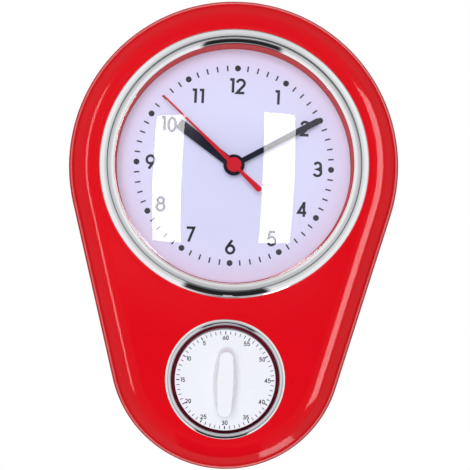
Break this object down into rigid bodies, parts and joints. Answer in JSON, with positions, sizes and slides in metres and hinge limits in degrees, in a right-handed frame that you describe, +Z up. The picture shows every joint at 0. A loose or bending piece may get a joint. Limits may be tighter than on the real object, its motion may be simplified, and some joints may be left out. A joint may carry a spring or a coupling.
{
  "type": "wall clock",
  "caption": "Teardrop wall clock with a large domed dial in a metal ring, three hands and a round winding timer knob below.",
  "frame": {"origin": "centre of the keyhole's entry hole on the rear face, which lies in the wall plane", "axes": "+Z up along the clock's height, +Y into the wall, the dial faces -Y"},
  "size_m": [0.223, 0.059, 0.316],
  "materials": {
    "housing_red": "high-gloss red moulding",
    "cover_black": "matte black moulding",
    "steel": "zinc-plated steel",
    "chrome": "polished chrome plating",
    "lens": "clear polished dome",
    "dial": "satin printed card",
    "nylon": "natural nylon",
    "gasket": "matte rubber",
    "brass": "machined brass",
    "battery_wrap": "plain printed battery sleeve",
    "board": "green solder mask",
    "chip": "black resin blob",
    "iron": "soft iron sheet",
    "copper": "enamelled copper wire",
    "spring_steel": "blued spring steel",
    "bell_steel": "nickel-plated bell",
    "hand_red": "gloss red enamel",
    "hand_black": "satin black enamel",
    "magnet": "sintered magnet",
    "knob_white": "semi-gloss white moulding"
  },
  "bodies": {
    "housing": {"front_housing": "housing_red", "rear_cover": "cover_black", "cover_screws": "steel", "clock_ring": "chrome", "clock_lens": "lens", "clock_dial": "dial", "timer_ring": "chrome", "movement_front_case": "cover_black", "movement_rear_case": "cover_black", "movement_middle_plate": "nylon", "movement_gasket": "gasket", "centre_bushing": "brass", "dial_washer": "steel", "dial_nut": "brass", "battery": "battery_wrap", "positive_contact": "steel", "negative_contact": "steel", "circuit_board": "board", "circuit_chip": "chip", "quartz_crystal": "steel", "stator": "iron", "coil_core": "iron", "coil_winding": "copper", "timer_front_plate": "brass", "timer_back_plate": "brass", "timer_pillars": "steel", "timer_screws": "steel", "mainspring": "spring_steel", "timer_bell": "bell_steel", "bell_post": "steel"},
    "second": {"second_hand": "hand_red", "second_arbor": "nylon"},
    "minute": {"minute_hand": "hand_black", "minute_tube": "nylon"},
    "hour": {"hour_hand": "hand_black", "hour_tube": "nylon"},
    "third": {"third_wheel": "nylon"},
    "intermediate": {"intermediate_wheel": "nylon"},
    "rotor": {"rotor_pinion": "nylon", "rotor_magnet": "magnet"},
    "setting": {"setting_wheel": "nylon", "setting_knob": "cover_black"},
    "timer": {"timer_knob": "knob_white", "timer_arbor": "steel", "timer_main_wheel": "brass"},
    "timer_second": {"timer_second_wheel": "brass"},
    "timer_third": {"timer_third_wheel": "brass"},
    "escape": {"timer_escape_wheel": "brass"},
    "anchor": {"timer_anchor": "steel"},
    "hammer": {"bell_hammer": "steel"}
  },
  "joints": [
    {"name": "minute_spin", "type": "hinge", "parent": "housing", "child": "minute", "pos_m": [0, -0.03, -0.078], "axis": [0, 1, 0], "continuous": true},
    {"name": "second_spin", "type": "hinge", "parent": "housing", "child": "second", "pos_m": [0, -0.03, -0.078], "axis": [0, 1, 0], "continuous": true},
    {"name": "hour_spin", "type": "hinge", "parent": "housing", "child": "hour", "pos_m": [0, -0.03, -0.078], "axis": [0, 1, 0], "continuous": true},
    {"name": "third_spin", "type": "hinge", "parent": "housing", "child": "third", "pos_m": [0.0108, -0.016, -0.078], "axis": [0, 1, 0], "continuous": true},
    {"name": "intermediate_spin", "type": "hinge", "parent": "housing", "child": "intermediate", "pos_m": [-0.00602, -0.012, -0.0694], "axis": [0, 1, 0], "continuous": true},
    {"name": "rotor_spin", "type": "hinge", "parent": "housing", "child": "rotor", "pos_m": [-0.01392, -0.012, -0.06653], "axis": [0, 1, 0], "continuous": true},
    {"name": "setting_spin", "type": "hinge", "parent": "housing", "child": "setting", "pos_m": [0.00507, -0.012, -0.06846], "axis": [0, 1, 0], "continuous": true},
    {"name": "timer_spin", "type": "hinge", "parent": "housing", "child": "timer", "pos_m": [0, -0.04, -0.218], "axis": [0, 1, 0], "range_deg": [0, 354]},
    {"name": "timer_second_spin", "type": "hinge", "parent": "housing", "child": "timer_second", "pos_m": [-0.01645, -0.02, -0.22398], "axis": [0, 1, 0], "range_deg": [-2130, 0]},
    {"name": "timer_third_spin", "type": "hinge", "parent": "housing", "child": "timer_third", "pos_m": [-0.00873, -0.02, -0.23318], "axis": [0, 1, 0], "range_deg": [0, 10650]},
    {"name": "escape_spin", "type": "hinge", "parent": "housing", "child": "escape", "pos_m": [0.00085, -0.02, -0.23522], "axis": [0, 1, 0], "range_deg": [-63900, 0]},
    {"name": "anchor_rock", "type": "hinge", "parent": "housing", "child": "anchor", "pos_m": [0.01046, -0.02, -0.23322], "axis": [0, 1, 0], "range_deg": [-5, 5]},
    {"name": "hammer_swing", "type": "hinge", "parent": "housing", "child": "hammer", "pos_m": [0.013, -0.008, -0.209], "axis": [0, -1, 0], "range_deg": [0, 20], "stiffness_Nm_per_rad": 0.002, "springref_deg": -5.73}
  ],
  "couplings": [
    {"joint": "second_spin", "follows": "minute_spin", "ratio": 60},
    {"joint": "hour_spin", "follows": "minute_spin", "ratio": 0.083333},
    {"joint": "third_spin", "follows": "minute_spin", "ratio": -7.5},
    {"joint": "intermediate_spin", "follows": "minute_spin", "ratio": -300},
    {"joint": "rotor_spin", "follows": "minute_spin", "ratio": 1800},
    {"joint": "setting_spin", "follows": "minute_spin", "ratio": -0.33333},
    {"joint": "timer_second_spin", "follows": "timer_spin", "ratio": -6},
    {"joint": "timer_third_spin", "follows": "timer_spin", "ratio": 30},
    {"joint": "escape_spin", "follows": "timer_spin", "ratio": -180}
  ]
}
